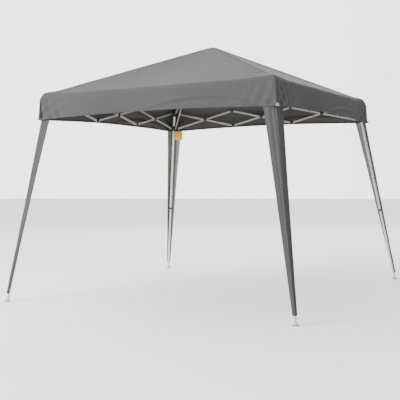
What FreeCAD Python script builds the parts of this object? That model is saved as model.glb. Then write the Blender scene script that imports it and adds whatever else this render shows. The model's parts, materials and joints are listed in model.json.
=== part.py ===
"""Slant-leg pop-up gazebo: a four-legged scissor frame that carries a fabric cover.

The frame has the same four corners and the same four sides, so every corner piece is worked out once,
for the front left corner, and turned about the vertical axis for the other three.
Millimetres, +Z up, origin on the ground at the middle of the four feet.
"""
import FreeCAD, Part
import math
import os

V = FreeCAD.Vector
X_AXIS, Y_AXIS, Z_AXIS = V(1, 0, 0), V(0, 1, 0), V(0, 0, 1)

# Driving dimensions. Spreads are measured between leg axes, heights from the ground.
SIZES = {
    "foot_spread": 3000,
    "pin_spread": 2386,
    "pin_height": 1984,
    "hub_pin_height": 2496,
    # legs
    "leg_tube_diameter": 32,
    "leg_tube_wall": 1,
    "leg_tube_end": 800,
    "lower_tube_diameter": 25,
    "lower_tube_wall": 1,
    "tube_overlap": 200,
    "collar_lip": 8,
    "collar_flange": 1,
    "collar_depth": 28,
    "foot_plate_diameter": 56,
    "foot_plate_thickness": 5,
    "foot_pad_thickness": 6,
    "peg_hole_diameter": 8,
    "peg_hole_reach": 20,
    "button_diameter": 7.6,
    "button_height": 3,
    "button_rise": 55,
    "spring_leaf": 1,
    "spring_leaf_width": 8,
    "spring_leaf_length": 40,
    "spring_seat": 1.5,
    # scissor sides
    "truss_height": 178,
    "truss_offset": 5,
    "truss_pin_reach": 50,
    "bar_height": 20,
    "bar_thickness": 10,
    "bar_wall": 0.8,
    "bar_gap": 2,
    "bar_end": 12,
    # roof rafters and struts
    "hub_pin_radius": 50,
    "rafter_pin_reach": 50,
    "rafter_pin_rise": 18,
    "outer_rafter_length": 780,
    "rafter_height": 24,
    "rafter_thickness": 12,
    "rafter_wall": 0.8,
    "side_gap": 0.5,
    "strut_reach": 345.2,
    "strut_height": 18,
    "strut_thickness": 8,
    "strut_pin_rise": 10,
    # brackets, slider and hub
    "cheek_thickness": 3,
    "cheek_radius": 12,
    "socket_wall": 4,
    "socket_length": 64,
    "socket_cap": 6,
    "slider_wall": 4.7,
    "slider_length": 58,
    "hub_radius": 26,
    "hub_length": 44,
    "hub_dome_rise": 18,
    # rivets and running clearances
    "rivet_diameter": 6,
    "rivet_head_diameter": 14,
    "rivet_head_height": 2,
    "pivot_clearance": 0.08,
    "loose_clearance": 0.4,
    "fork_clearance": 0.4,
    "slide_clearance": 0.3,
    "fit_clearance": 0.1,
    # cover
    "eave_room": 44.33,
    "eave_height": 2012,
    "peak_height": 2546,
    "valance_drop": 255,
    "valance_room": 46.87,
    "hem_arch": 30,
    "fabric_thickness": 2,
    "leg_cover_thickness": 1.5,
    "leg_cover_top_arm": 122,
    "leg_cover_tip_arm": 30,
    "leg_cover_tip_height": 75,
    "leg_cover_gap": 6,
    "eyelet_diameter": 22,
    "eyelet_hole_diameter": 11,
    "eyelet_thickness": 2,
    "eyelet_rise": 14,
}
UNITS_PER_SIDE = 3
CORNERS = ("front_left", "front_right", "back_right", "back_left")
SIDES = ("front", "right", "back", "left")

doc = FreeCAD.newDocument("gazebo")
sheet = doc.addObject("Spreadsheet::Sheet", "Sizes")
size = {}


def add_size(alias, value):
    """Put one plain number in the sheet under its alias."""
    row = len(size) + 1
    sheet.set(f"A{row}", alias)
    sheet.set(f"B{row}", str(value))
    sheet.setAlias(f"B{row}", alias)
    size[alias] = float(value)


for alias, value in SIZES.items():
    add_size(alias, value)

# ---------------------------------------------------------------- places worked out from the sizes

# How far a leg moves outward, in x and in y alike, for each millimetre it comes down.
slope = (size["foot_spread"] - size["pin_spread"]) / 2 / size["pin_height"]
lean = math.atan(math.sqrt(2) * slope)
side_lean = math.atan(slope)
stretch = 1 / math.cos(lean)  # length along a leg for each millimetre of height
pin_station = size["pin_height"] * stretch  # stations are lengths up the leg axis from the ground

DIAGONAL = FreeCAD.Rotation(Z_AXIS, 45)
LEG = FreeCAD.Placement(
    V(-size["foot_spread"] / 2, -size["foot_spread"] / 2, 0),
    DIAGONAL * FreeCAD.Rotation(Y_AXIS, math.degrees(lean)),
)
# The two scissor sides leave a leg this far either side of its inward direction.
SIDE_ANGLE = math.degrees(math.atan(1 / math.cos(lean)))


def about_leg(angle, reach, across, station):
    """The point at reach along the direction angle about a leg, in that leg's own frame."""
    turned = FreeCAD.Rotation(Z_AXIS, angle).multVec(V(reach, across, 0))
    return turned + V(0, 0, station)


truss_pin = LEG.multVec(about_leg(-SIDE_ANGLE, size["truss_pin_reach"], 0, pin_station))
truss_span = -2 * truss_pin.x
TRUSS = FreeCAD.Placement(
    V(0, truss_pin.y, truss_pin.z), FreeCAD.Rotation(X_AXIS, -math.degrees(side_lean))
)
unit_span = truss_span / UNITS_PER_SIDE
bar_angle = math.atan(size["truss_height"] / unit_span)
bar_half = math.hypot(unit_span, size["truss_height"]) / 2
# A bar that meets a slider is longer on that side, so that its pin keeps to the slanting leg.
leg_tilt = math.atan(slope * math.cos(side_lean))
slider_extra = (
    math.tan(leg_tilt)
    * size["truss_height"]
    / (math.cos(bar_angle) - math.tan(leg_tilt) * math.sin(bar_angle))
)
slider_drop = (size["truss_height"] + slider_extra * math.sin(bar_angle)) / math.cos(leg_tilt)
slider_station = pin_station - slider_drop

LAYER = (size["bar_gap"] + size["bar_thickness"]) / 2
OUTER_LAYER = size["truss_offset"] + LAYER
INNER_LAYER = size["truss_offset"] - LAYER

# The hip rafter, in the upright plane through a leg and the hub.
rafter_pin = LEG.multVec(
    about_leg(0, size["rafter_pin_reach"], 0, pin_station + size["rafter_pin_rise"])
)
hub_pin = DIAGONAL.multVec(V(-size["hub_pin_radius"], 0, size["hub_pin_height"]))
rafter_run = (hub_pin - rafter_pin).Length
rafter_slope = math.asin((hub_pin.z - rafter_pin.z) / rafter_run)
inner_rafter_length = rafter_run - size["outer_rafter_length"]
RAFTER_TURN = DIAGONAL * FreeCAD.Rotation(Y_AXIS, -math.degrees(rafter_slope))
RAFTER = FreeCAD.Placement(rafter_pin, RAFTER_TURN)
INNER_RAFTER_LAYER = size["rafter_thickness"] + size["side_gap"]
STRUT_LAYER = -(size["rafter_thickness"] + size["strut_thickness"]) / 2 - size["side_gap"]

strut_pivot = RAFTER.multVec(V(size["strut_reach"], 0, 0))
strut_pin = LEG.multVec(
    about_leg(0, size["rafter_pin_reach"], 0, slider_station + size["strut_pin_rise"])
)
strut_length = (strut_pin - strut_pivot).Length
strut_fall = math.asin((strut_pivot.z - strut_pin.z) / strut_length)
STRUT = FreeCAD.Placement(
    strut_pivot, DIAGONAL * FreeCAD.Rotation(Y_AXIS, 180 - math.degrees(strut_fall))
)

# Sizes that follow from the ones above and that pieces are bound to.
# The cover stands outside the leg axes by its room at the eave and at the hem.
hem_height = size["eave_height"] - size["valance_drop"]
for alias, height in (("eave", size["eave_height"]), ("valance", hem_height)):
    add_size(alias + "_spread", size["foot_spread"] + 2 * (size[alias + "_room"] - slope * height))
add_size("bar_bore_height", size["bar_height"] - 2 * size["bar_wall"])
add_size("bar_bore_thickness", size["bar_thickness"] - 2 * size["bar_wall"])
add_size("rafter_bore_height", size["rafter_height"] - 2 * size["rafter_wall"])
add_size("rafter_bore_thickness", size["rafter_thickness"] - 2 * size["rafter_wall"])
add_size("strut_bore_height", size["strut_height"] - 2 * size["rafter_wall"])
add_size("strut_bore_thickness", size["strut_thickness"] - 2 * size["rafter_wall"])
add_size("outer_rafter_tube", size["outer_rafter_length"] + 2 * size["bar_end"])
add_size("inner_rafter_tube", inner_rafter_length + 2 * size["bar_end"])
add_size("strut_tube", strut_length + 2 * size["bar_end"])
add_size("socket_top", pin_station + size["rafter_pin_rise"] + size["cheek_radius"])
add_size("upper_tube", size["socket_top"] - size["socket_cap"] - size["leg_tube_end"])
add_size("lower_tube", size["leg_tube_end"] + size["tube_overlap"])

HEIGHT_OF_FOOT = size["foot_pad_thickness"] + size["foot_plate_thickness"]
button_station = size["leg_tube_end"] + size["button_rise"]


# ---------------------------------------------------------------- building blocks


def primitive(kind, name, place, **formulas):
    """A Part primitive whose sizes are bound to the sheet by formulas."""
    thing = doc.addObject("Part::" + kind, name)
    thing.Placement = place
    for prop, formula in formulas.items():
        thing.setExpression(prop, formula)
    return thing


def sheet_size(alias):
    return "Sizes." + alias


def at(x=0, y=0, z=0, turn=FreeCAD.Rotation()):
    return FreeCAD.Placement(V(x, y, z), turn)


def block(name, corner, length, width, height):
    """A box from its low corner; the three sizes are formulas."""
    return primitive("Box", name, at(*corner), Length=length, Width=width, Height=height)


ACROSS = FreeCAD.Rotation(X_AXIS, -90)  # turns a cylinder's axis from Z to Y
INWARD = FreeCAD.Rotation(Y_AXIS, 90)  # turns a cylinder's axis from Z to X


def cylinder(name, place, diameter, length):
    """A cylinder along the placement's own Z; diameter and length are formulas."""
    return primitive("Cylinder", name, place, Radius=f"({diameter}) / 2", Height=length)


def fuse(name, shapes):
    joined = doc.addObject("Part::MultiFuse", name)
    joined.Shapes = shapes
    return joined


def cut(name, base, tools):
    """The base with every tool taken away from it."""
    result = doc.addObject("Part::Cut", name)
    result.Base = base
    result.Tool = tools[0] if len(tools) == 1 else fuse(name + "_cutters", tools)
    return result


def overlap(name, first, second):
    """The space that two shapes share."""
    shared = doc.addObject("Part::MultiCommon", name)
    shared.Shapes = [first, second]
    return shared


nodes = []


def node(name, pieces, place=FreeCAD.Placement()):
    """One named sub-part: its separate solids, put in place together."""
    whole = doc.addObject("Part::Compound", name)
    whole.Label = name
    whole.Links = pieces
    whole.Placement = place
    nodes.append(whole)
    return whole


def corner_turn(number):
    """The turn that takes the front left corner, or the front side, to another one."""
    return at(turn=FreeCAD.Rotation(Z_AXIS, 90 * number))


def flat_tube(name, start, layer, length, kind):
    """A rectangular tube along X in the given layer of Y, from x = start."""
    height, thickness = size[kind + "_height"], size[kind + "_thickness"]
    bore_height, bore_thickness = size[kind + "_bore_height"], size[kind + "_bore_thickness"]
    outside = block(
        name + "_outside",
        (start, layer - thickness / 2, -height / 2),
        length,
        sheet_size(kind + "_thickness"),
        sheet_size(kind + "_height"),
    )
    inside = block(
        name + "_inside",
        (start, layer - bore_thickness / 2, -bore_height / 2),
        length,
        sheet_size(kind + "_bore_thickness"),
        sheet_size(kind + "_bore_height"),
    )
    return outside, inside


def rivet_hole(name, x, layer, kind, clearance="pivot_clearance"):
    """The cutter for a rivet through a flat tube."""
    start = layer - size[kind + "_thickness"]
    return cylinder(
        name,
        at(x, start, 0, ACROSS),
        f"Sizes.rivet_diameter + 2 * Sizes.{clearance}",
        f"2 * Sizes.{kind}_thickness",
    )


def rivet(name, x, low, high, washer=None):
    """A rivet along Y whose heads bear on the faces y = low and y = high.

    washer is the (low, high) stretch of the shank that carries a spacing washer.
    """
    head = size["rivet_head_height"]
    head_size = ("Sizes.rivet_head_diameter", "Sizes.rivet_head_height")
    parts = [
        cylinder(name + "_shank", at(x, low, 0, ACROSS), "Sizes.rivet_diameter", f"{high - low}"),
        cylinder(name + "_head", at(x, low - head, 0, ACROSS), *head_size),
        cylinder(name + "_tail", at(x, high, 0, ACROSS), *head_size),
    ]
    if washer:
        start, end = washer
        parts.append(
            cylinder(
                name + "_washer",
                at(x, start, 0, ACROSS),
                "Sizes.rivet_head_diameter",
                f"{end - start}",
            )
        )
    return fuse(name, parts)


def stub(name, x, layer, kind):
    """A rivet's shank that ends inside the fork it hangs in."""
    half = (size[kind + "_thickness"] + size["fork_clearance"]) / 2
    return cylinder(name, at(x, layer - half, 0, ACROSS), "Sizes.rivet_diameter", f"{2 * half}")


def fork(name, angle, reach, station, layer, kind, pinned):
    """Two cheeks that take a flat tube between them, with a rivet across if pinned.

    The cheeks run out from the local Z axis in the direction angle to a pin at reach.
    """
    half = size[kind + "_thickness"] / 2 + size["fork_clearance"]
    thick, radius = size["cheek_thickness"], size["cheek_radius"]
    direction = FreeCAD.Rotation(Z_AXIS, angle)
    parts = []
    for low in (layer - half - thick, layer + half):
        arm = block(
            name + "_arm",
            (0, 0, 0),
            f"{reach}",
            "Sizes.cheek_thickness",
            "2 * Sizes.cheek_radius",
        )
        arm.Placement = at(turn=direction) * at(0, low, station - radius)
        parts.append(arm)
        end = at(turn=direction) * at(reach, low, station, ACROSS)
        parts.append(cylinder(name + "_end", end, "2 * Sizes.cheek_radius", "Sizes.cheek_thickness"))
    outer = half + thick
    head = size["rivet_head_height"]
    for low in (layer - outer - head, layer + outer):
        place = at(turn=direction) * at(reach, low, station, ACROSS)
        parts.append(cylinder(name + "_head", place, "Sizes.rivet_head_diameter", "Sizes.rivet_head_height"))
    if pinned:
        place = at(turn=direction) * at(reach, layer - outer, station, ACROSS)
        parts.append(cylinder(name + "_pin", place, "Sizes.rivet_diameter", f"{2 * outer}"))
    return parts


# ---------------------------------------------------------------- hub and roof frame


def peak_hub():
    """The joint of the four hip rafters, domed on top where the cover rests."""
    bottom = size["hub_pin_height"] - size["hub_length"] / 2
    top = bottom + size["hub_length"]
    parts = [cylinder("hub_core", at(0, 0, bottom), "2 * Sizes.hub_radius", "Sizes.hub_length")]
    parts.append(
        primitive(
            "Cone",
            "hub_dome",
            at(0, 0, top),
            Radius1="Sizes.hub_radius",
            Radius2="Sizes.hub_radius / 3",
            Height="Sizes.hub_dome_rise",
        )
    )
    for number in range(len(CORNERS)):
        # Seen from the hub a rafter runs outward, so its layer changes sign.
        parts += fork(
            f"hub_fork_{number}",
            225 + 90 * number,
            size["hub_pin_radius"],
            size["hub_pin_height"],
            -INNER_RAFTER_LAYER,
            "rafter",
            True,
        )
    node("peak_hub", [fuse("hub_body", parts)])


def outer_rafter(name, number):
    """The lower half of a hip rafter: bracket pin at x = 0, elbow rivet at its far end."""
    length = size["outer_rafter_length"]
    outside, inside = flat_tube(name, -size["bar_end"], 0, "Sizes.outer_rafter_tube", "rafter")
    holes = [rivet_hole(name + "_hole", x, 0, "rafter") for x in (0, size["strut_reach"], length)]
    tube = cut(name + "_tube", outside, [inside] + holes)
    half = size["rafter_thickness"] / 2
    far = INNER_RAFTER_LAYER + half
    elbow = rivet(name + "_rivet", length, -half, far + size["fit_clearance"])
    node(name, [tube, elbow], corner_turn(number) * RAFTER)


def inner_rafter(name, number):
    """The upper half of a hip rafter: elbow at x = 0, hub pin at its far end."""
    outside, inside = flat_tube(
        name, -size["bar_end"], INNER_RAFTER_LAYER, "Sizes.inner_rafter_tube", "rafter"
    )
    holes = [
        rivet_hole(name + "_hole", x, INNER_RAFTER_LAYER, "rafter") for x in (0, inner_rafter_length)
    ]
    tube = cut(name + "_tube", outside, [inside] + holes)
    elbow = RAFTER * at(size["outer_rafter_length"])
    node(name, [tube], corner_turn(number) * elbow)


def strut(name, number):
    """The prop from the slider up to the outer rafter: rafter rivet at x = 0."""
    # The strut's own X points outward, so its layer changes sign.
    layer = -STRUT_LAYER
    outside, inside = flat_tube(name, -size["bar_end"], layer, "Sizes.strut_tube", "strut")
    hole = rivet_hole(name + "_hole", 0, layer, "strut")
    tube = cut(name + "_tube", outside, [inside, hole])
    high = layer + size["strut_thickness"] / 2
    low = -size["rafter_thickness"] / 2 - size["fit_clearance"]
    node(
        name,
        [tube, rivet(name + "_rivet", 0, low, high), stub(name + "_stub", strut_length, layer, "strut")],
        corner_turn(number) * STRUT,
    )


# ---------------------------------------------------------------- scissor sides


def bar(name, side, unit, rising):
    """One scissor bar, centred on the rivet of its crossing.

    Falling bars lie in the outer layer and carry the rivets; rising bars lie in the inner one.
    """
    first, last = unit == 1, unit == UNITS_PER_SIDE
    left, right = bar_half, bar_half
    if first and rising:
        left += slider_extra
    if last and not rising:
        right += slider_extra
    layer = INNER_LAYER if rising else OUTER_LAYER
    length = left + right + 2 * size["bar_end"]
    outside, inside = flat_tube(name, -left - size["bar_end"], 0, f"{length}", "bar")
    holes, fixed = [], []
    gap = size["bar_gap"]
    # Outward is the local -Y, so the inner layer lies on the +Y side of an outer bar.
    near, far = -size["bar_thickness"] / 2, size["bar_thickness"] * 1.5 + gap + size["fit_clearance"]
    washer = (-near, -near + gap - size["fit_clearance"])
    if rising:
        # The foot of a rising bar turns on a rivet that closes the linkage, so it runs loose.
        if first:
            fixed.append(stub(name + "_stub", -left, 0, "bar"))
        else:
            holes.append(rivet_hole(name + "_low_hole", -left, 0, "bar", "loose_clearance"))
        holes.append(rivet_hole(name + "_hole", 0, 0, "bar"))
        if last:
            fixed.append(stub(name + "_stub", right, 0, "bar"))
        else:
            holes.append(rivet_hole(name + "_high_hole", right, 0, "bar"))
    else:
        # The bracket's pin leans a little to the bar's plane as the side folds, so its hole is loose.
        clearance = "loose_clearance" if first else "pivot_clearance"
        holes.append(rivet_hole(name + "_hole", -left, 0, "bar", clearance))
        riveted = [0] if first else [-left, 0]
        if last:
            fixed.append(stub(name + "_stub", right, 0, "bar"))
        else:
            riveted.append(right)
        for x in riveted:
            if x != -left:
                holes.append(rivet_hole(name + "_hole", x, 0, "bar"))
            fixed.append(rivet(name + "_rivet", x, near, far, washer))
    tube = cut(name + "_tube", outside, [inside] + holes)
    middle = -truss_span / 2 + (unit - 0.5) * unit_span
    tilt = -math.degrees(bar_angle) if rising else math.degrees(bar_angle)
    place = at(middle, -layer, -size["truss_height"] / 2, FreeCAD.Rotation(Y_AXIS, tilt))
    node(name, [tube] + fixed, corner_turn(side) * TRUSS * place)


# ---------------------------------------------------------------- legs


def truss_forks(name, station, outer_first, pinned_first):
    """The forks for the two sides that meet at a corner.

    The first side leaves the corner at -SIDE_ANGLE and the one before it arrives at +SIDE_ANGLE.
    """
    first_layer = OUTER_LAYER if outer_first else INNER_LAYER
    last_layer = INNER_LAYER if outer_first else OUTER_LAYER
    reach = size["truss_pin_reach"]
    # Outward is the first fork's local -Y and the second fork's local +Y.
    return fork(name + "_first", -SIDE_ANGLE, reach, station, -first_layer, "bar", pinned_first) + fork(
        name + "_last", SIDE_ANGLE, reach, station, last_layer, "bar", False
    )


def top_bracket(name, number):
    """The moulding on a leg's head: a blind socket with three forks."""
    wall = size["socket_wall"]
    low = size["socket_top"] - size["socket_length"]
    parts = [
        cylinder(
            name + "_socket",
            at(0, 0, low),
            "Sizes.leg_tube_diameter + 2 * Sizes.socket_wall",
            "Sizes.socket_length",
        )
    ]
    parts += truss_forks(name, pin_station, True, True)
    rise = pin_station + size["rafter_pin_rise"]
    parts += fork(name + "_rafter", 0, size["rafter_pin_reach"], rise, 0, "rafter", True)
    bore = cylinder(
        name + "_bore",
        at(0, 0, low - wall),
        "Sizes.leg_tube_diameter + 2 * Sizes.fit_clearance",
        "Sizes.socket_length - Sizes.socket_cap + Sizes.socket_wall",
    )
    body = cut(name + "_body", fuse(name + "_blank", parts), [bore])
    node(name, [body], corner_turn(number) * LEG)


def slider(name, number):
    """The sleeve that runs on a leg: two forks for the sides and one for the strut."""
    low = slider_station - size["slider_length"] / 2
    parts = [
        cylinder(
            name + "_sleeve",
            at(0, 0, low),
            "Sizes.leg_tube_diameter + 2 * (Sizes.slide_clearance + Sizes.slider_wall)",
            "Sizes.slider_length",
        )
    ]
    parts += truss_forks(name, slider_station, False, False)
    rise = slider_station + size["strut_pin_rise"]
    parts += fork(name + "_strut", 0, size["rafter_pin_reach"], rise, STRUT_LAYER, "strut", False)
    bore = cylinder(
        name + "_bore",
        at(0, 0, low - size["cheek_radius"]),
        "Sizes.leg_tube_diameter + 2 * Sizes.slide_clearance",
        "Sizes.slider_length + 2 * Sizes.cheek_radius",
    )
    body = cut(name + "_body", fuse(name + "_blank", parts), [bore])
    node(name, [body], corner_turn(number) * LEG)


def upper_leg(name, number):
    """The fixed tube of a leg, with the plastic collar that guides the lower tube."""
    end = size["leg_tube_end"]
    outside = cylinder(name + "_outside", at(0, 0, end), "Sizes.leg_tube_diameter", "Sizes.upper_tube")
    bore = cylinder(
        name + "_bore",
        at(0, 0, end),
        "Sizes.leg_tube_diameter - 2 * Sizes.leg_tube_wall",
        "Sizes.upper_tube",
    )
    hole = cylinder(
        name + "_catch_hole",
        at(0, 0, button_station, INWARD),
        "Sizes.button_diameter + 4 * Sizes.fit_clearance",
        "Sizes.leg_tube_diameter",
    )
    tube = cut(name + "_tube", outside, [bore, hole])
    lip = cylinder(
        name + "_collar_lip",
        at(0, 0, end - size["collar_lip"]),
        "Sizes.leg_tube_diameter + 2 * Sizes.collar_flange",
        "Sizes.collar_lip",
    )
    sleeve = cylinder(
        name + "_collar_sleeve",
        at(0, 0, end),
        "Sizes.leg_tube_diameter - 2 * (Sizes.leg_tube_wall + Sizes.fit_clearance)",
        "Sizes.collar_depth",
    )
    guide = cylinder(
        name + "_collar_bore",
        at(0, 0, end - size["collar_lip"]),
        "Sizes.lower_tube_diameter + 2 * Sizes.slide_clearance",
        "Sizes.collar_lip + Sizes.collar_depth",
    )
    collar = cut(name + "_collar", fuse(name + "_collar_blank", [lip, sleeve]), [guide])
    node(name, [tube, collar], corner_turn(number) * LEG)


def lower_leg(name, number):
    """The sliding tube of a leg on its level foot: a steel plate over a rubber pad."""
    level = LEG.inverse()
    outside = cylinder(name + "_outside", at(), "Sizes.lower_tube_diameter", "Sizes.lower_tube")
    bore = cylinder(
        name + "_bore",
        at(),
        "Sizes.lower_tube_diameter - 2 * Sizes.lower_tube_wall",
        "Sizes.lower_tube",
    )
    hole = cylinder(
        name + "_catch_hole",
        at(0, 0, button_station, INWARD),
        "Sizes.button_diameter + 4 * Sizes.fit_clearance",
        "Sizes.lower_tube_diameter",
    )
    corner = LEG.Base
    reach = size["foot_plate_diameter"]
    below = block(
        name + "_below",
        (0, 0, 0),
        "2 * Sizes.foot_plate_diameter",
        "2 * Sizes.foot_plate_diameter",
        f"{HEIGHT_OF_FOOT + reach}",
    )
    below.Placement = level * at(corner.x - reach, corner.y - reach, -reach)
    tube = cut(name + "_tube", outside, [bore, hole, below])

    outward = DIAGONAL.multVec(V(-size["peg_hole_reach"], 0, 0))
    pieces = [tube]
    for kind, bottom in (("pad", 0), ("plate", size["foot_pad_thickness"])):
        thickness = f"Sizes.foot_{kind}_thickness"
        disc = cylinder(
            f"{name}_{kind}_disc",
            level * at(corner.x, corner.y, bottom),
            "Sizes.foot_plate_diameter",
            thickness,
        )
        peg_hole = cylinder(
            f"{name}_{kind}_hole",
            level * at(corner.x + outward.x, corner.y + outward.y, bottom),
            "Sizes.peg_hole_diameter",
            thickness,
        )
        pieces.append(cut(f"{name}_{kind}", disc, [peg_hole]))
    pieces.append(spring_clip(name + "_clip"))
    node(name, pieces, corner_turn(number) * LEG)


def spring_clip(name):
    """The fixed half of the catch's spring, inside the lower tube behind the button."""
    leaf, width = size["spring_leaf"], size["spring_leaf_width"]
    back = -size["lower_tube_diameter"] / 2 + size["lower_tube_wall"] + size["spring_seat"]
    low = button_station - size["spring_leaf_length"] / 2
    along, down = "Sizes.spring_leaf", "Sizes.spring_leaf_length"
    across = "Sizes.spring_leaf_width"
    bend = "Sizes.lower_tube_diameter / 2 - 2 * Sizes.spring_seat"
    return fuse(
        name,
        [
            block(name + "_leaf", (back, -width / 2, low), along, across, down),
            block(name + "_bend", (back, -width / 2, low - leaf), bend, across, along),
        ],
    )


def leg_button(name, number):
    """The catch that holds a leg at full length: a button on the free leaf of its spring."""
    leaf_face = size["lower_tube_diameter"] / 4
    proud = size["leg_tube_diameter"] / 2 + size["button_height"]
    button = cylinder(
        name + "_button",
        at(leaf_face, 0, button_station, INWARD),
        "Sizes.button_diameter",
        f"{proud - leaf_face}",
    )
    width, length = size["spring_leaf_width"], size["spring_leaf_length"]
    leaf = block(
        name + "_leaf",
        (leaf_face - size["spring_leaf"], -width / 2, button_station - length / 3),
        "Sizes.spring_leaf",
        "Sizes.spring_leaf_width",
        "Sizes.spring_leaf_length * 2 / 3",
    )
    node(name, [fuse(name + "_body", [button, leaf])], corner_turn(number) * LEG)


# ---------------------------------------------------------------- cover

UPRIGHT = FreeCAD.Rotation(X_AXIS, 90)  # a wedge rises along its own Y, which this turns to Z


def frustum(name, low, high, bottom, top):
    """A square frustum about the Z axis: half widths and heights, all formulas."""
    return primitive(
        "Wedge",
        name,
        at(turn=UPRIGHT),
        Xmin=f"-({bottom})",
        Xmax=bottom,
        Zmin=f"-({bottom})",
        Zmax=bottom,
        X2min=f"-({top})",
        X2max=top,
        Z2min=f"-({top})",
        Z2max=top,
        Ymin=low,
        Ymax=high,
    )


def roof_cover():
    """The fabric roof, sewn from a triangle and a valance for each side.

    The roof is a pyramid, and the valance hangs from it with its hem arched between the corners.
    """
    hem = "Sizes.eave_height - Sizes.valance_drop"
    eave_half, hem_half = "Sizes.eave_spread / 2", "Sizes.valance_spread / 2"
    cloth = "Sizes.fabric_thickness"
    roof = frustum("roof_outside", "Sizes.eave_height", "Sizes.peak_height", eave_half, cloth)
    hollow = frustum(
        "roof_inside",
        "Sizes.eave_height",
        f"Sizes.peak_height - {cloth}",
        f"{eave_half} - {cloth}",
        f"{cloth} / 2",
    )
    valance = frustum("valance_outside", hem, "Sizes.eave_height", hem_half, eave_half)
    opening = frustum(
        "valance_inside", hem, "Sizes.eave_height", f"{hem_half} - {cloth}", f"{eave_half} - {cloth}"
    )
    half, rise = size["valance_spread"] / 2, size["hem_arch"]
    radius = (half**2 + rise**2) / 2 / rise
    middle = hem_height + rise - radius
    length = size["valance_spread"]
    arches = [
        cylinder("hem_arch_along", at(0, -length, middle, ACROSS), f"{2 * radius}", f"{2 * length}"),
        cylinder("hem_arch_across", at(-length, 0, middle, INWARD), f"{2 * radius}", f"{2 * length}"),
    ]
    roof_cloth = cut("roof_cloth", roof, [hollow])
    valance_cloth = cut("valance_cloth", valance, [opening] + arches)
    panels = []
    for number, side in enumerate(SIDES):
        for name, cloth_piece in (("roof", roof_cloth), ("valance", valance_cloth)):
            quarter = block(
                f"{side}_{name}_quarter",
                (0, 0, 0),
                "Sizes.valance_spread",
                "Sizes.valance_spread",
                "2 * Sizes.peak_height",
            )
            quarter.Placement = at(turn=FreeCAD.Rotation(Z_AXIS, 225 + 90 * number))
            panels.append(overlap(f"{side}_{name}_panel", cloth_piece, quarter))
    node("roof_cover", panels)


def cover_strip(name, along_x):
    """One flap of a leg cover: a thin wedge that tapers and slants with the leg."""
    tip, top = size["leg_cover_tip_height"], hem_height
    thick = size["leg_cover_thickness"]
    top_half = size["valance_spread"] / 2
    leg_half = size["foot_spread"] / 2 - slope * tip
    tip_half = leg_half + size["leg_tube_diameter"] / 2 + size["leg_cover_gap"]
    flaps = []
    for half, arm in ((tip_half, size["leg_cover_tip_arm"]), (top_half, size["leg_cover_top_arm"])):
        reach = -half + arm
        thin = -half + thick
        flaps.append((-half, reach, -half, thin) if along_x else (-half, thin, -half, reach))
    (x0, x1, y0, y1), (x2, x3, y2, y3) = flaps
    numbers = {
        "Xmin": x0,
        "Xmax": x1,
        "Zmin": -y1,
        "Zmax": -y0,
        "X2min": x2,
        "X2max": x3,
        "Z2min": -y3,
        "Z2max": -y2,
        "Ymin": tip,
        "Ymax": top - size["fit_clearance"],
    }
    return primitive("Wedge", name, at(turn=UPRIGHT), **{key: f"{n}" for key, n in numbers.items()})


def leg_covers():
    """The four fabric strips that hang from the valance and wrap the outside of the legs."""
    strips = []
    for number, corner in enumerate(CORNERS):
        name = corner + "_leg_cover"
        strip = fuse(name, [cover_strip(name + "_x", True), cover_strip(name + "_y", False)])
        strip.Placement = corner_turn(number)
        strips.append(strip)
    node("leg_covers", strips)


def corner_eyelets():
    """The four rings in the valance corners that a guy line ties to."""
    flare = (size["valance_spread"] - size["eave_spread"]) / 2 / size["valance_drop"]
    half = size["valance_spread"] / 2 - flare * size["eyelet_rise"]
    height = hem_height + size["eyelet_rise"]
    tilt = math.degrees(math.atan(math.sqrt(2) * flare))
    # The ring's back rests on the corner fold, and its axis looks out along the diagonal.
    outward = FreeCAD.Rotation(Z_AXIS, 225) * FreeCAD.Rotation(Y_AXIS, 90 - tilt)
    place = at(-half, -half, height, outward) * at(0, 0, size["fit_clearance"])
    rings = []
    for number, corner in enumerate(CORNERS):
        name = corner + "_eyelet"
        disc = cylinder(name + "_disc", place, "Sizes.eyelet_diameter", "Sizes.eyelet_thickness")
        hole = cylinder(name + "_hole", place, "Sizes.eyelet_hole_diameter", "Sizes.eyelet_thickness")
        ring = cut(name, disc, [hole])
        ring.Placement = corner_turn(number)
        rings.append(ring)
    node("corner_eyelets", rings)


# ---------------------------------------------------------------- assembly


def build():
    peak_hub()
    for number, corner in enumerate(CORNERS):
        inner_rafter("inner_rafter_" + corner, number)
        outer_rafter("outer_rafter_" + corner, number)
        strut("strut_" + corner, number)
        top_bracket("top_bracket_" + corner, number)
        slider("slider_" + corner, number)
        upper_leg("upper_leg_" + corner, number)
        lower_leg("lower_leg_" + corner, number)
        leg_button("leg_button_" + corner, number)
    for number, side in enumerate(SIDES):
        for unit in range(1, UNITS_PER_SIDE + 1):
            bar(f"{side}_bar_{unit}_falling", number, unit, False)
            bar(f"{side}_bar_{unit}_rising", number, unit, True)
    roof_cover()
    leg_covers()
    corner_eyelets()
    doc.recompute()


def check():
    """Stop if any object failed to compute or any sub-part is empty or broken."""
    failed = [o.Name for o in doc.Objects if "Invalid" in o.State or "Error" in o.State]
    if failed:
        raise RuntimeError(f"objects that failed: {failed}")
    broken = [n.Label for n in nodes if n.Shape.isNull() or not n.Shape.isValid()]
    if broken:
        raise RuntimeError(f"sub-parts with a bad shape: {broken}")


build()
check()
os.makedirs("parts", exist_ok=True)
for part in nodes:
    part.Shape.exportStep(f"parts/{part.Label}.step")
print(f"{len(nodes)} sub-parts, bar half {bar_half:.1f}, strut {strut_length:.1f}")
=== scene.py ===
"""Looks of the slant-leg pop-up gazebo: fabric, coated steel, mouldings and the studio round it."""
import bmesh
import bpy
import json
import math
from mathutils import Matrix, Vector, noise


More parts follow.
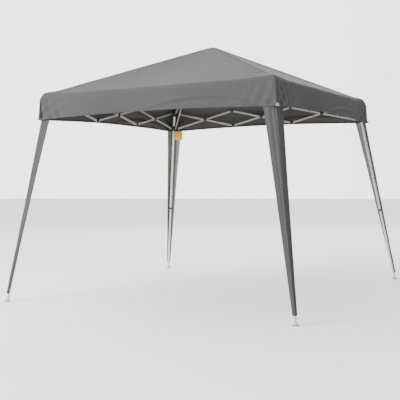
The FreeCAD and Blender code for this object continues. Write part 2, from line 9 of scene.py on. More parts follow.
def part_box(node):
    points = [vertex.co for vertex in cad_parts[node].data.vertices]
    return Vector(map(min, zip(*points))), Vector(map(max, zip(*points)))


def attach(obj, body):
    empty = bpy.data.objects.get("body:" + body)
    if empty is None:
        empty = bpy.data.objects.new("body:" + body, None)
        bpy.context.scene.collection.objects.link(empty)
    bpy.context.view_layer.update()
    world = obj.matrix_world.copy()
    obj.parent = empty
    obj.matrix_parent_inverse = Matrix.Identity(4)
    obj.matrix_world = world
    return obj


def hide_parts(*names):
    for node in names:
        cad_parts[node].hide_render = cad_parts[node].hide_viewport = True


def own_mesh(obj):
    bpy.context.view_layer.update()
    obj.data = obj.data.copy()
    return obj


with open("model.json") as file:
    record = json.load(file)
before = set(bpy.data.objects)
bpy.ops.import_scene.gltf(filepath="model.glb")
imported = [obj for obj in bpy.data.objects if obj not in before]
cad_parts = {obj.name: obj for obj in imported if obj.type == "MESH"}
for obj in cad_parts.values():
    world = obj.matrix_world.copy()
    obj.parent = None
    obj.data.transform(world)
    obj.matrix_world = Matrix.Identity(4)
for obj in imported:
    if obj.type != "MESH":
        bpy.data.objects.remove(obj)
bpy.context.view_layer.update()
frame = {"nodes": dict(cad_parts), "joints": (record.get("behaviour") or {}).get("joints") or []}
nodes = frame["nodes"]
joints = {joint["name"]: joint for joint in frame["joints"]}

CORNERS = ("front_left", "front_right", "back_right", "back_left")
SIDES = ("front", "right", "back", "left")

# ------------------------------------------------------------------ places read from the frame

cover_low, cover_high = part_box("roof_cover")
strips_low, strips_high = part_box("leg_covers")
PEAK = cover_high.z
HEM_HALF = cover_high.x
HEM_HEIGHT = cover_low.z
TIP_HALF = strips_high.x
TIP_HEIGHT = strips_low.z
EAVE_HALF = 1.262  # where the roof and valance planes cross, before the edge is rounded
SEEN_EDGE_HALF, SEEN_EDGE_HEIGHT = 1.233, 2.012  # the top of the rounded edge
ROOF_SLOPE = (PEAK - SEEN_EDGE_HEIGHT) / SEEN_EDGE_HALF
EAVE_HEIGHT = PEAK - ROOF_SLOPE * EAVE_HALF
HEM_ARCH = 0.030
FOOT_HALF = 1.5


def joint_place(name):
    return Vector(joints[name]["pos_m"])


def joint_axis(name):
    return Vector(joints[name]["axis"]).normalized()


def quarter(number):
    """The turn that takes the front left corner, or the front side, to another one."""
    return Matrix.Rotation(math.radians(90 * number), 4, "Z")


# ------------------------------------------------------------------ materials


class Value:
    """A shader socket that takes part in Python expressions."""

    def __init__(self, tree, socket):
        self.tree, self.socket = tree, socket

    def _math(self, operation, a, b=None):
        inputs = {0: a} if b is None else {0: a, 1: b}
        return Shade.add(self.tree, "ShaderNodeMath", {"operation": operation}, inputs)

    def __add__(self, other):
        return self._math("ADD", self, other)

    def __sub__(self, other):
        return self._math("SUBTRACT", self, other)

    def __mul__(self, other):
        return self._math("MULTIPLY", self, other)

    def __rsub__(self, other):
        return self._math("SUBTRACT", other, self)

    __radd__, __rmul__ = __add__, __mul__

    def above(self, edge):
        return self._math("GREATER_THAN", self, edge)

    def below(self, edge):
        return self._math("LESS_THAN", self, edge)

    def sine(self):
        return self._math("SINE", self)

    def clamped(self):
        return Shade.add(self.tree, "ShaderNodeClamp", {}, {"Value": self}, "Result")


class Shade:
    """A new material with one Principled shader, and short ways to add nodes to it."""

    def __init__(self, name, **fixed):
        self.material = bpy.data.materials.new(name)
        self.material.use_nodes = True
        self.tree = self.material.node_tree
        self.shader = self.tree.nodes["Principled BSDF"]
        for socket, value in fixed.items():
            self.shader.inputs[socket.replace("_", " ")].default_value = value
        self.place = self.node("ShaderNodeTexCoord", {}, {}, "Object")

    @staticmethod
    def add(tree, kind, settings, inputs, output=0):
        node = tree.nodes.new(kind)
        for key, value in settings.items():
            setattr(node, key, value)
        for key, value in inputs.items():
            if isinstance(value, Value):
                tree.links.new(value.socket, node.inputs[key])
            else:
                node.inputs[key].default_value = value
        return Value(tree, node.outputs[output])

    def node(self, kind, settings, inputs, output=0):
        return self.add(self.tree, kind, settings, inputs, output)

    def noise(self, scale, detail=3.0, stretch=(1, 1, 1), rough=0.5):
        """Soft noise from 0 to 1, scale in cycles a metre."""
        place = self.node(
            "ShaderNodeMapping", {}, {"Vector": self.place, "Scale": Vector(stretch)}
        )
        return self.node(
            "ShaderNodeTexNoise",
            {},
            {"Vector": place, "Scale": scale, "Detail": detail, "Roughness": rough},
            "Fac",
        )

    def axis(self, name):
        return self.node("ShaderNodeSeparateXYZ", {}, {"Vector": self.place}, name)

    def mix(self, factor, low, high):
        node = self.tree.nodes.new("ShaderNodeMix")
        node.data_type = "RGBA"
        for key, value in (("Factor", factor), ("A", low), ("B", high)):
            socket = [s for s in node.inputs if s.name == key and s.enabled][0]
            if isinstance(value, Value):
                self.tree.links.new(value.socket, socket)
            else:
                socket.default_value = value
        return Value(self.tree, [s for s in node.outputs if s.enabled][0])

    def colour(self, value):
        self.tree.links.new(value.socket, self.shader.inputs["Base Color"])

    def roughness(self, value):
        self.tree.links.new(value.socket, self.shader.inputs["Roughness"])

    def bump(self, height, strength, distance):
        normal = self.node(
            "ShaderNodeBump", {}, {"Height": height, "Strength": strength, "Distance": distance}
        )
        self.tree.links.new(normal.socket, self.shader.inputs["Normal"])


def grey(level, warmth=0.0):
    return (level * (1 + warmth), level, level * (1 - warmth), 1.0)


def woven(name, dark, light, warmth=0.0, sheen=0.04):
    """Coated polyester: a fine plain weave, with colour that drifts a little over the cloth."""
    cloth = Shade(name, Roughness=0.82, Sheen_Weight=sheen, Sheen_Roughness=0.5)
    drift = cloth.noise(1.7, 4.0)
    fine = cloth.noise(60.0, 2.0)
    tone = (drift * 0.8 + fine * 0.2).clamped()
    threads_a_metre = 900
    threads = 2 * math.pi * threads_a_metre
    x, y, z = (cloth.axis(a) for a in "XYZ")
    warp = ((x + y) * threads).sine()
    weft = ((z * 1.05 + (x - y) * 0.18) * threads).sine()
    weave = warp * weft
    cloth.colour(cloth.mix(tone + weave * 0.035, grey(dark, warmth), grey(light, warmth)))
    cloth.roughness(0.76 + fine * 0.12)
    cloth.bump(weave * 0.6 + fine * 0.8, 0.35, 0.0006)
    return cloth.material


def coated_steel(name, light, dull):
    """Powder coat over steel tube, faintly mottled, a little duller in patches."""
    coat = Shade(name, Roughness=0.36, Coat_Weight=0.2, Coat_Roughness=0.2)
    mottle = coat.noise(14.0, 5.0)
    speckle = coat.noise(420.0, 2.0)
    scuff = (coat.noise(38.0, 6.0, (1, 1, 0.25)) - 0.62).above(0.0) * 0.5
    wear = (mottle * 0.7 + scuff * 0.5).clamped()
    coat.colour(coat.mix(wear, grey(light, 0.05), grey(dull, 0.08)))
    coat.roughness(0.26 + mottle * 0.18 + scuff * 0.2)
    coat.bump(speckle, 0.12, 0.0004)
    return coat.material


def foot_steel():
    """The sliding leg and its foot: white coat above a black rubber pad."""
    pad_top = 0.0062
    foot = Shade("leg_and_foot_coat", Roughness=0.36)
    mottle = foot.noise(14.0, 5.0)
    rubber = foot.axis("Z").below(pad_top)
    dirt = (1 - foot.axis("Z") * 6.0).clamped() * foot.noise(90.0, 4.0)
    white = foot.mix((mottle * 0.6 + dirt * 0.7).clamped(), grey(0.80), grey(0.45, 0.06))
    foot.colour(foot.mix(rubber, white, grey(0.022)))
    foot.roughness(0.28 + mottle * 0.16 + rubber * 0.4)
    foot.bump(foot.noise(420.0, 2.0), 0.12, 0.0004)
    return foot.material


def moulded():
    """Black nylon with a fine spark-eroded grain, paler in rubbed patches."""
    level = 0.018
    nylon = Shade("black_moulding", Roughness=0.5, Specular_IOR_Level=0.4)
    grain = nylon.noise(700.0, 2.0)
    rub = (nylon.noise(55.0, 5.0) * 1.6 - 0.75).clamped()
    nylon.colour(nylon.mix(rub, grey(level), grey(level * 2.6)))
    nylon.roughness(0.42 + grain * 0.16 + rub * 0.1)
    nylon.bump(grain, 0.25, 0.0003)
    return nylon.material


def nickel():
    """Nickel-plated brass, with faint turning marks."""
    plate = Shade("nickel_plate", Metallic=1.0, Roughness=0.22)
    marks = plate.noise(160.0, 4.0)
    plate.colour(plate.mix(marks, grey(0.82, 0.01), grey(0.62, 0.03)))
    plate.roughness(0.14 + marks * 0.22)
    plate.bump(marks, 0.1, 0.0002)
    return plate.material


def spring_steel():
    """Bare spring steel, brushed along its length."""
    steel = Shade("spring_steel", Metallic=1.0, Roughness=0.3)
    brushed = steel.noise(240.0, 4.0, (1, 1, 8))
    steel.colour(steel.mix(brushed, grey(0.6), grey(0.42)))
    steel.roughness(0.22 + brushed * 0.25)
    return steel.material


def tag_card():
    """Plain yellow card, with faint fibres."""
    card = Shade("yellow_card", Roughness=0.55)
    fibre = card.noise(120.0, 4.0)
    card.colour(card.mix(fibre, (0.72, 0.56, 0.03, 1), (0.55, 0.41, 0.02, 1)))
    card.roughness(0.45 + fibre * 0.2)
    card.bump(fibre, 0.1, 0.0003)
    return card.material


OUTSIDE = woven("grey_polyester", 0.029, 0.042, -0.008)
# The back's own coated colour, made warmer and lighter as painted light shining through the cloth.
INSIDE = woven("grey_polyester_back", 0.036, 0.049, 0.12, sheen=0.01)
STRIP_OUT = woven("leg_cover_polyester", 0.034, 0.048, -0.008)
STRIP_IN = woven("leg_cover_back", 0.15, 0.20, 0.05, sheen=0.01)
# Darker than the cloth: partly the real hem binding, partly painted shade along the inner hem and
# in the corner grooves.
TAPE_AND_SHADE = woven("hem_tape_and_shade", 0.02, 0.032)
WHITE = coated_steel("white_powder_coat", 0.62, 0.48)
CREAM = coated_steel("cream_powder_coat", 0.27, 0.19)
FOOT = foot_steel()
BLACK = moulded()
NICKEL = nickel()
SPRING = spring_steel()
CARD = tag_card()


# ------------------------------------------------------------------ piece making


def piece(name, mesh, materials, body):
    """A finished bmesh made into a smooth object that rides on a body."""
    data = bpy.data.meshes.new(name)
    mesh.to_mesh(data)
    mesh.free()
    for material in materials:
        data.materials.append(material)
    data.shade_smooth()
    thing = bpy.data.objects.new(name, data)
    bpy.context.scene.collection.objects.link(thing)
    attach(thing, body)
    return thing


def thicken(thing, thickness):
    """Thickness for a cloth, inwards from its face, with its second material on the back."""
    wall = thing.modifiers.new("cloth_thickness", "SOLIDIFY")
    wall.thickness = thickness
    wall.offset = -1.0
    wall.material_offset = 1
    wall.use_even_offset = True


def lathe(profile, steps=32):
    """A closed ring or disc spun about Z from (radius, height) points."""
    mesh = bmesh.new()
    chain = [mesh.verts.new((radius, 0, height)) for radius, height in profile]
    edges = [mesh.edges.new(pair) for pair in zip(chain, chain[1:])]
    bmesh.ops.spin(
        mesh,
        geom=chain + edges,
        cent=(0, 0, 0),
        axis=(0, 0, 1),
        angle=2 * math.pi,
        steps=steps,
        use_merge=True,
    )
    bmesh.ops.remove_doubles(mesh, verts=mesh.verts, dist=1e-6)
    bmesh.ops.recalc_face_normals(mesh, faces=mesh.faces)
    return mesh


def placed(mesh, place):
    bmesh.ops.transform(mesh, matrix=place, verts=mesh.verts)
    return mesh


def joined(meshes):
    """Several bmeshes as one."""
    whole = bmesh.new()
    for part in meshes:
        data = bpy.data.meshes.new("joining")
        part.to_mesh(data)
        part.free()
        whole.from_mesh(data)
        bpy.data.meshes.remove(data)
    return whole


def facing(point, axis, up=Vector((0, 0, 1))):
    """The place whose Z looks along axis from point, with its Y as near up as it can be."""
    look = Vector(axis).normalized()
    side = up.cross(look)
    side = side.normalized() if side.length > 1e-6 else Vector((1, 0, 0))
    rise = look.cross(side)
    turn = Matrix((side, rise, look)).transposed().to_4x4()
    return Matrix.Translation(point) @ turn


def rounded_box(length, width, height, edge, segments=2):
    mesh = bmesh.new()
    bmesh.ops.create_cube(mesh, size=1.0)
    bmesh.ops.scale(mesh, vec=(length, width, height), verts=mesh.verts)
    bmesh.ops.bevel(
        mesh,
        geom=mesh.edges[:],
        offset=edge,
        offset_type="OFFSET",
        segments=segments,
        profile=0.5,
        affect="EDGES",
        material=-1,
    )
    return mesh


# ------------------------------------------------------------------ roof cover

SIDE_CUTS = 120
VALANCE_ROWS = 16
EDGE_ROWS = 6
ROOF_ROWS = 60
HIP_STEPS = 40
CORNER_STEPS = 20
EDGE_RADIUS = 0.045


def square_loop(mesh, cuts):
    """A square loop of edges, one unit out from the middle on each side."""
    bmesh.ops.create_circle(mesh, segments=4, radius=math.sqrt(2))
    bmesh.ops.rotate(mesh, matrix=Matrix.Rotation(math.radians(45), 3, "Z"), verts=mesh.verts)
    bmesh.ops.subdivide_edges(mesh, edges=mesh.edges[:], cuts=cuts - 1)
    return mesh.edges[:]


def cover_rows():
    """(half width, height, share of the hem's arch) of each row, from the hem to near the peak."""
    hem = Vector((HEM_HALF, HEM_HEIGHT))
    eave = Vector((EAVE_HALF, EAVE_HEIGHT))
    peak = Vector((0, PEAK))
    low = eave + (hem - eave).normalized() * EDGE_RADIUS
    high = eave + (peak - eave).normalized() * EDGE_RADIUS
    rows = [hem.lerp(low, step / VALANCE_ROWS) for step in range(VALANCE_ROWS)]
    for step in range(EDGE_ROWS):
        t = step / EDGE_ROWS
        rows.append(low.lerp(eave, t).lerp(eave.lerp(high, t), t))
    rows += [high.lerp(peak, (step / ROOF_ROWS) ** 0.95) for step in range(ROOF_ROWS)]
    fall = low.y - hem.y
    return [(row.x, row.y, max(0.0, 1 - (row.y - hem.y) / fall)) for row in rows]


def ripple(along, height, side_number):
    """How far the valance cloth stands off its plane, in metres."""
    wave, pull_depth, crease_depth = 0.008, 0.0055, 0.0050
    reach = 1 - abs(along)
    near = math.exp(-((reach / 0.24) ** 2))
    drop = (EAVE_HEIGHT - height) / (EAVE_HEIGHT - HEM_HEIGHT)
    hang = max(0.0, min(1.0, drop))
    wide = wave * hang * math.sin(6.3 * along + 2.1 * side_number)
    slant = reach * HEM_HALF + 0.55 * (height - HEM_HEIGHT)
    pull = pull_depth * near * math.sin(slant * 58 + 1.3 * side_number)
    crease = crease_depth * near * math.sin((reach * 1.1 - 1.6 * (height - HEM_HEIGHT)) * 36)
    fade = min(1.0, reach / 0.03)
    return wide + (pull + crease) * min(1.0, hang + 0.25) * fade + drape(along, height)


def drape(along, height):
    """The long slack fold that runs in an arc towards one end of a valance."""
    middle, half_span, foot, rise, half_width, depth = 0.42, 0.52, 0.035, 0.095, 0.016, 0.0085
    across = (along - middle) / half_span
    if abs(across) >= 1:
        return 0.0
    crest = HEM_HEIGHT + foot + rise * (1 - across**2)
    off = (height - crest) / half_width
    fade = (1 - across**2) ** 0.7 * (1 - math.exp(-(((along - 1) / 0.05) ** 2)))
    return fade * depth * (math.exp(-(off**2)) - 0.7 * math.exp(-((off + 1.9) ** 2)))


def cover_shift(point, outward, along, number):
    """The small departures of one cover point from the flat pattern."""
    sag_depth, fold_depth, hump_height = 0.020, 0.0055, 0.016
    rough = noise.noise(point * 3.1 + Vector((7, 3, number)))
    fine = noise.noise(point * 11.0)
    if point.z < EAVE_HEIGHT:
        return outward * (ripple(along, point.z, number) + 0.002 * rough)
    climb = (point.z - EAVE_HEIGHT) / (PEAK - EAVE_HEIGHT)
    sag = sag_depth * (1 - along**2) * math.sin(math.pi * min(1.0, climb * 1.02))
    tension = math.exp(-((1 - abs(along)) / 0.16) ** 2) * math.exp(-((climb - 0.1) / 0.22) ** 2)
    tension *= 1 - math.exp(-(((1 - abs(along)) / 0.05) ** 2))
    fold = fold_depth * tension * math.sin((point.z + 0.15 * abs(along)) * 130)
    in_from_hip = (1 - abs(along)) * EAVE_HALF / 0.16
    up_the_hip = (climb * EAVE_HALF - 0.04) / 0.055
    hump = hump_height * math.exp(-(in_from_hip**2) - up_the_hip**2)
    return Vector((0, 0, hump - sag + fold + 0.003 * rough * (1 - climb) + 0.0012 * fine))


def cover_point(unit, half, height, arch):
    """Where a point of the unit square loop stands in the row with that size and height."""
    if abs(unit.x) > abs(unit.y):
        along, outward = unit.y, Vector((math.copysign(1, unit.x), 0, 0))
        side = "right" if unit.x > 0 else "left"
    else:
        along, outward = unit.x, Vector((0, math.copysign(1, unit.y), 0))
        side = "back" if unit.y > 0 else "front"
    rise = HEM_ARCH * (1 - along**2) * arch
    point = Vector((unit.x * half, unit.y * half, height + rise))
    return point + cover_shift(point, outward, along, SIDES.index(side))


def roof_cloth():
    """One sheet from hem to peak, gathered to a point under the top."""
    mesh = bmesh.new()
    loop = square_loop(mesh, SIDE_CUTS)
    rows = cover_rows()
    loops = [list(mesh.verts)]
    for _ in rows[1:]:
        grown = bmesh.ops.extrude_edge_only(mesh, edges=loop)["geom"]
        loops.append([item for item in grown if isinstance(item, bmesh.types.BMVert)])
        fresh = set(loops[-1])
        edges = [item for item in grown if isinstance(item, bmesh.types.BMEdge)]
        loop = [edge for edge in edges if fresh.issuperset(edge.verts)]
    for verts, (half, height, arch) in zip(loops, rows):
        for vert in verts:
            vert.co = cover_point(vert.co.copy(), half, height, arch)
    bmesh.ops.pointmerge(mesh, verts=loops[-1], merge_co=Vector((0, 0, PEAK - 0.002)))
    bmesh.ops.dissolve_degenerate(mesh, edges=mesh.edges, dist=1e-6)
    bmesh.ops.recalc_face_normals(mesh, faces=mesh.faces)
    return mesh


def seam(name, points, width, rise, material):
    """A flat sewn welt that follows points on the cloth, facing out."""
    crown = 0.55
    places = []
    for point, across, normal in points:
        side = across.normalized() * width / 2
        lift = normal.normalized() * rise
        low = normal.normalized() * 0.0002
        offsets = (low - side, lift - side * crown, lift + side * crown, low + side)
        places += [point + offset for offset in offsets]
    mesh = bmesh.new()
    bmesh.ops.create_grid(mesh, x_segments=3, y_segments=len(points) - 1, size=0.5)
    for vert, place in zip(mesh.verts, places):
        vert.co = place
    return piece(name, mesh, [material], "cover")


def hip_point(number, step):
    """A point down the hip over one corner, with the seam's sideways and outward directions."""
    turn = quarter(number)
    half = EAVE_HALF * 0.965 * step
    point = turn @ Vector((-half, -half, PEAK - ROOF_SLOPE * half + 0.0012))
    across = turn.to_3x3() @ Vector((1, -1, 0))
    normal = turn.to_3x3() @ Vector((-ROOF_SLOPE, -ROOF_SLOPE, 2)).normalized()
    return point, across, normal


def hem_line(number, inset, lift, facing_out):
    """Points along one side's hem, with the tape's sideways direction and the way it faces."""
    turn = quarter(number)
    outward = Vector((0, -1, 0))
    found = []
    for step in range(SIDE_CUTS + 1):
        along = -1 + 2 * step / SIDE_CUTS
        height = HEM_HEIGHT + HEM_ARCH * (1 - along**2) + lift
        half = HEM_HALF - inset
        world_along = along if number in (0, 1) else -along
        stand = outward * ripple(world_along, height, number)
        point = Vector((along * half, -half, height)) + stand
        face = outward if facing_out else -outward
        found.append((turn @ point, Vector((0, 0, 1)), turn.to_3x3() @ face))
    return found


def valance_half(height):
    """Half the width of the valance at a height."""
    return EAVE_HALF + (HEM_HALF - EAVE_HALF) * (EAVE_HEIGHT - height) / (EAVE_HEIGHT - HEM_HEIGHT)


def corner_dart(number):
    """The slender pleat beside a corner seam: it opens downward to the eyelet."""
    along = quarter(number).to_3x3() @ Vector((1, 0, 0))
    outward = quarter(number).to_3x3() @ Vector((0, -1, 0))
    mesh = bmesh.new()
    bmesh.ops.create_grid(mesh, x_segments=10, y_segments=CORNER_STEPS, size=0.5)
    for vert in mesh.verts:
        across, down = vert.co.x + 0.5, 0.5 - vert.co.y
        height = EAVE_HEIGHT - 0.035 - (EAVE_HEIGHT - HEM_HEIGHT - 0.063) * down
        width = 0.006 + 0.030 * down**1.3
        swell = math.sin(math.pi * across) ** 0.6 * (0.004 + 0.010 * down)
        half = valance_half(height)
        corner = quarter(number) @ Vector((-half, -half, height))
        vert.co = corner + along * (0.002 + across * width) + outward * (0.0006 + swell)
    mesh.normal_update()
    if sum((face.normal for face in mesh.faces), Vector()).dot(outward) < 0:
        bmesh.ops.reverse_faces(mesh, faces=mesh.faces)
    return mesh


def corner_line(number):
    """The seam down a valance corner, in the groove beside the pleat; its dark colour is painted
    shade in the groove.
    """
    turn = quarter(number)
    across = turn.to_3x3() @ Vector((1, -1, 0))
    outward = turn.to_3x3() @ Vector((-1, -1, 0))
    found = []
    for step in range(CORNER_STEPS + 1):
        drop = (EAVE_HEIGHT - HEM_HEIGHT - 0.055) * step / CORNER_STEPS
        height = EAVE_HEIGHT - 0.03 - drop
        half = valance_half(height)
        point = turn @ Vector((-half - 0.0008, -half - 0.0008, height))
        found.append((point, across, outward))
    return found


cloth = piece("roof_fabric", roof_cloth(), [OUTSIDE, INSIDE], "cover")
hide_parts("roof_cover")
thicken(cloth, 0.0012)

for number, corner in enumerate(CORNERS):
    hip = [hip_point(number, 0.02 + 0.98 * step / HIP_STEPS) for step in range(HIP_STEPS + 1)]
    seam(f"hip_seam_{corner}", hip, 0.014, 0.0016, OUTSIDE)
    # The corner seam's dark colour is painted shade in the groove beside the pleat.
    seam(f"corner_seam_{corner}", corner_line(number), 0.006, 0.0012, TAPE_AND_SHADE)
    pleat = corner_dart(number)
    dart = piece(f"corner_pleat_{corner}", pleat, [OUTSIDE, INSIDE], "cover")
    thicken(dart, 0.001)
for number, side in enumerate(SIDES):
    within, without = hem_line(number, 0.0032, 0.011, False), hem_line(number, -0.0009, 0.010, True)
    # The inner hem tape is the real binding, coloured darker as painted shade along the inside of
    # the hem.
    seam(f"hem_tape_and_shade_{side}", within, 0.018, 0.0012, TAPE_AND_SHADE)
    seam(f"hem_fold_{side}", without, 0.018, 0.0010, OUTSIDE)


# ------------------------------------------------------------------ leg covers

STRIP_TOP_ARM = 0.128
STRIP_TIP_ARM = 0.034
STRIP_COLUMNS = 44
STRIP_ROWS = 110


def strip_point(s, t, number):
    """A point of the front left leg cover: s across it from -1 to 1, t down it from 0 to 1."""
    top, tip = Vector((HEM_HALF - 0.004, HEM_HEIGHT + 0.012)), Vector((TIP_HALF, TIP_HEIGHT))
    half, height = top.lerp(tip, t)
    arm = STRIP_TOP_ARM + (STRIP_TIP_ARM - STRIP_TOP_ARM) * t**0.9
    soft = 0.30
    first = arm * (s + math.sqrt(s * s + soft * soft)) / 2
    second = arm * (-s + math.sqrt(s * s + soft * soft)) / 2
    point = Vector((-half + first, -half + second, height))
    bow = 0.010 * math.sin(math.pi * t) * (1 - abs(s))
    sway = (1 - t) ** 0.8
    broad, narrow = math.sin(7.5 * s + 2.2 * t + number), math.sin(17 * s - 3 * t)
    fold = sway * (0.0032 * broad + 0.0014 * narrow)
    gather = 0.0016 * math.exp(-t * 9) * math.sin(24 * s + number)
    curl = -0.010 * abs(s) ** 6 * (0.4 + 0.6 * t)
    outward = Vector((-1 + 0.55 * s, -1 - 0.55 * s, 0)).normalized()
    drift = 0.002 * noise.noise(Vector((s * 2, t * 9, number * 3.7)))
    return point + outward * (fold + gather + curl + drift - bow * 0.4)


def leg_strip(number):
    """One leg cover: a tapering strip folded round its corner, with its face outwards."""
    mesh = bmesh.new()
    bmesh.ops.create_grid(mesh, x_segments=STRIP_COLUMNS, y_segments=STRIP_ROWS, size=1.0)
    turn = quarter(number)
    for vert in mesh.verts:
        vert.co = turn @ strip_point(vert.co.x, (1 - vert.co.y) / 2, number)
    mesh.normal_update()
    outward = turn @ Vector((-1, -1, 0))
    middle = min(mesh.faces, key=lambda face: abs(face.calc_center_median().z - 1.0))
    if middle.normal.dot(outward) < 0:
        bmesh.ops.reverse_faces(mesh, faces=mesh.faces)
    return mesh


def strip_binding(number, edge):
    """The narrow turned edge of a leg cover."""
    turn = quarter(number)
    found = []
    for step in range(STRIP_ROWS + 1):
        t = step / STRIP_ROWS
        point = strip_point(edge, t, number)
        inner = strip_point(edge * 0.97, t, number)
        ahead, behind = min(1.0, t + 0.01), max(0.0, t - 0.01)
        below = strip_point(edge, ahead, number) - strip_point(edge, behind, number)
        across = (inner - point).normalized()
        normal = below.cross(across).normalized() * (1 if edge > 0 else -1)
        if normal.dot(Vector((-1, -1, 0))) < 0:
            normal = -normal
        middle = turn @ (point + across * 0.005)
        found.append((middle, turn.to_3x3() @ across, turn.to_3x3() @ normal))
    return found


for number, corner in enumerate(CORNERS):
    faces = [STRIP_OUT, STRIP_IN]
    strip = piece(f"leg_cover_{corner}", leg_strip(number), faces, "cover")
    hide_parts("leg_covers")
    thicken(strip, 0.0011)
    edges = []
    for side, edge in (("a", -1), ("b", 1)):
        binding = strip_binding(number, edge)
        edges.append(seam(f"leg_cover_edge_{side}_{corner}", binding, 0.010, 0.0012, STRIP_OUT))
    down = -joint_axis("leg_extension_" + corner)
    for soft in [strip] + edges:
        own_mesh(soft)


# ------------------------------------------------------------------ eyelets


def eyelet(number):
    """A rolled ring set in the corner of the valance."""
    ring = [
        (0.0054, -0.0020),
        (0.0054, 0.0014),
        (0.0062, 0.0024),
        (0.0078, 0.0028),
        (0.0098, 0.0022),
        (0.0110, 0.0008),
        (0.0110, 0.0),
        (0.0070, -0.0004),
        (0.0070, -0.0020),
        (0.0054, -0.0020),
    ]
    half = HEM_HALF + 0.0045
    look = quarter(number).to_3x3() @ Vector((-1, -1, 0.12))
    place = quarter(number) @ Vector((-half, -half, HEM_HEIGHT + 0.015))
    return placed(lathe(ring, 40), facing(place, look) @ Matrix.Scale(1.3, 4))


for number, corner in enumerate(CORNERS):
    ring = piece(f"eyelet_{corner}", eyelet(number), [NICKEL], "cover")
    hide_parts("corner_eyelets")

# ------------------------------------------------------------------ mouldings over the frame


def rivet_cap(radius, height):
    """A domed black cap over a rivet head."""
    profile = [(0.0, height)]
    for step in range(1, 7):
        angle = math.radians(15 * step)
        profile.append((radius * 0.86 * math.sin(angle), height * (0.35 + 0.65 * math.cos(angle))))
    profile += [(radius, height * 0.30), (radius, 0.0), (0.0, 0.0)]
    return lathe(profile, 28)


def reach_along(name, direction):
    """How far a node reaches both ways along a direction."""
    spans = [vert.co.dot(direction) for vert in nodes[name].data.vertices]
    return min(spans), max(spans)


def on_plane(point, direction, distance):
    return point + direction * (distance - point.dot(direction))


def caps(points, outward, inner, outer):
    """Caps over both ends of every rivet, which lie in the planes inner and outer."""
    sunk = 0.0026
    parts = []
    for point in points:
        for plane, look in ((outer - sunk, outward), (inner + sunk, -outward)):
            place = facing(on_plane(point, outward, plane), look)
            parts.append(placed(rivet_cap(0.0200, 0.0095), place))
    return joined(parts)


def bar_plugs(name, direction, outward):
    """Black end plugs of a flat tube, one at each end."""
    height, thickness, length, edge = 0.0194, 0.0094, 0.005, 0.0012
    low, high = reach_along(name, direction)
    verts = [vert.co for vert in nodes[name].data.vertices]
    lift = outward.cross(direction).normalized()
    parts = []
    for end, way in ((low, -1), (high, 1)):
        near = [co for co in verts if abs(co.dot(direction) - end) < 0.0005]
        middle = sum(near, Vector()) / len(near)
        spot = on_plane(middle, direction, end)
        body = rounded_box(height, thickness, length, edge)
        turn = Matrix((lift, outward, direction * way)).transposed()
        if turn.determinant() < 0:
            turn = Matrix((-lift, outward, direction * way)).transposed()
        parts.append(placed(body, Matrix.Translation(spot) @ turn.to_4x4()))
    return joined(parts)


for side_number, side in enumerate(SIDES):
    outward = -joint_axis(f"{side}_top_pivot_1")
    for unit in (1, 2, 3):
        falling, rising = f"{side}_bar_{unit}_falling", f"{side}_bar_{unit}_rising"
        cross = joint_place(f"{side}_cross_pivot_{unit}")
        start = joint_place(f"{side}_end_pivot" if unit == 1 else f"{side}_top_pivot_{unit - 1}")
        spots = [cross]
        if unit > 1:
            spots.append(start)
        if unit < 3:
            spots.append(2 * cross - start)
        inner, outer = reach_along(falling, outward)
        covers = caps(spots, outward, inner, outer)
        piece(f"{falling}_caps", covers, [BLACK], falling)
        fall = (cross - start - outward * (cross - start).dot(outward)).normalized()
        sideways = outward.cross(Vector((0, 0, 1))).normalized()
        rise = sideways * fall.dot(sideways) * 2 - fall
        for name, direction in ((falling, fall), (rising, rise)):
            plugs = bar_plugs(name, direction, outward)
            piece(f"{name}_plugs", plugs, [BLACK], name)

# ------------------------------------------------------------------ leg collars, pulls and tag


def leg_way(corner):
    """The direction down a leg, and its inward direction square to that."""
    down = -joint_axis("leg_extension_" + corner)
    inward = Vector((-down.x, -down.y, 0)).normalized()
    return down, (inward - down * inward.dot(down)).normalized()


def leg_point(corner, node):
    """The point on a leg's axis level with the low end of a node's box."""
    down, _ = leg_way(corner)
    foot = quarter(CORNERS.index(corner)) @ Vector((-FOOT_HALF, -FOOT_HALF, 0))
    low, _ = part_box(node)
    return foot + down * (low.z / down.z)


COLLAR_PROFILE = [
    (0.0131, 0.0),
    (0.0172, 0.0),
    (0.0186, 0.0012),
    (0.0190, 0.004),
    (0.0190, 0.016),
    (0.0180, 0.0195),
    (0.0165, 0.021),
    (0.0131, 0.021),
    (0.0131, 0.0),
]

for corner in CORNERS:
    down, inward = leg_way(corner)
    end = leg_point(corner, "upper_leg_" + corner)
    collar = placed(lathe(COLLAR_PROFILE, 36), facing(end - down * 0.004, -down))
    piece(f"leg_collar_{corner}", collar, [BLACK], "leg_" + corner)
    slide = leg_point(corner, "slider_" + corner)
    pull = rounded_box(0.020, 0.010, 0.034, 0.003, 3)
    place = facing(slide + inward * 0.024 - down * 0.020, -down, inward)
    pull = placed(pull, place)
    piece(f"slider_pull_{corner}", pull, [BLACK], "slider_" + corner)

slide = leg_point("back_left", "slider_back_left")
tag_face = Vector((1, -1, 0)).normalized()
tag_side = Vector((1, 1, 0)).normalized()
tag_spot = slide + tag_side * 0.055 + tag_face * 0.040 - Vector((0, 0, 0.062))
loop_spot = tag_spot + Vector((0, 0, 0.072))
card = placed(rounded_box(0.094, 0.108, 0.0016, 0.0007), facing(tag_spot, tag_face))
loop = placed(rounded_box(0.004, 0.050, 0.0012, 0.0004), facing(loop_spot, tag_face))
piece("hang_tag", joined([card, loop]), [CARD], "slider_back_left")

# ------------------------------------------------------------------ finishes of the frame's parts

for name, thing in nodes.items():
    finish = WHITE
    if name == "peak_hub" or name.startswith(("top_bracket", "slider")):
        finish = BLACK
    elif "_bar_" in name or "rafter" in name or name.startswith("strut"):
        finish = CREAM
    elif name.startswith("lower_leg"):
        finish = FOOT
    elif name.startswith("leg_button"):
        finish = SPRING
    for slot in thing.material_slots:
        slot.material = finish

# ------------------------------------------------------------------ studio


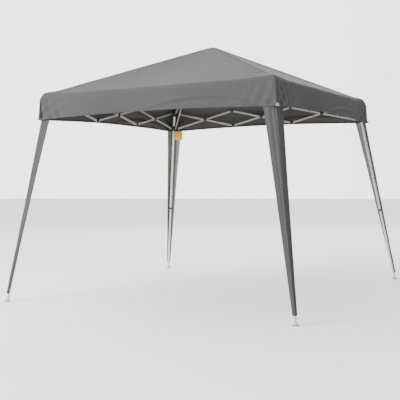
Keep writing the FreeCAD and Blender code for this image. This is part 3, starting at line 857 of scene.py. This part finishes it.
def studio():
    """A pale floor, a graded white surround and three soft lamps."""
    floor = bmesh.new()
    bmesh.ops.create_grid(floor, x_segments=2, y_segments=2, size=30)
    data = bpy.data.meshes.new("studio_floor")
    floor.to_mesh(data)
    floor.free()
    ground = bpy.data.objects.new("studio_floor", data)
    paint = Shade("pale_floor", Roughness=0.9)
    paint.colour(paint.mix(paint.noise(0.6), grey(0.93), grey(0.90)))
    data.materials.append(paint.material)
    bpy.context.scene.collection.objects.link(ground)

    world = bpy.data.worlds.new("studio_air")
    world.use_nodes = True
    tree = world.node_tree
    way = Shade.add(tree, "ShaderNodeTexCoord", {}, {}, "Generated")
    side = Shade.add(tree, "ShaderNodeSeparateXYZ", {}, {"Vector": way}, "X")
    # The room is brightest on the left and dims to the right, so the sides of the roof differ.
    light = (0.55 - side * 1.3).clamped() * 3.0 + 0.36
    tree.nodes["Background"].inputs["Color"].default_value = (1, 1, 1, 1)
    tree.links.new(light.socket, tree.nodes["Background"].inputs["Strength"])
    bpy.context.scene.world = world

    lamps = {
        "key": ((-5.0, -8.0, 5.5), 4.0, 1150),
        "back": ((-3.0, 8.0, 6.5), 6.0, 420),
        "floor_glow": ((1.5, -9.0, 2.0), 4.0, 60),
    }
    for name, (place, width, power) in lamps.items():
        lamp_data = bpy.data.lights.new(name, "AREA")
        lamp_data.energy = power
        lamp_data.size = width
        lamp = bpy.data.objects.new(name, lamp_data)
        lamp.matrix_world = facing(Vector(place), Vector(place) - Vector((0, 0, 1.4)))
        bpy.context.scene.collection.objects.link(lamp)


def camera():
    """The viewpoint: low, near the front right leg, a little rolled."""
    azimuth, climb, roll = (math.radians(angle) for angle in (27.927, -0.181, -0.759))
    distance = 8.08
    middle = Vector((0, 0, 1.2))
    turn = Matrix.Rotation(azimuth, 4, "Z")
    turn @= Matrix.Rotation(math.pi / 2 - climb, 4, "X")
    turn @= Matrix.Rotation(roll, 4, "Z")
    back = turn.to_3x3() @ Vector((0, 0, 1))
    view = bpy.data.cameras.new("view")
    view.sensor_width = 36
    view.lens = 69.12
    view.shift_x = -0.0362
    view.shift_y = -0.0627
    holder = bpy.data.objects.new("view", view)
    holder.matrix_world = Matrix.Translation(middle + back * distance) @ turn
    bpy.context.scene.collection.objects.link(holder)
    bpy.context.scene.camera = holder


studio()
camera()
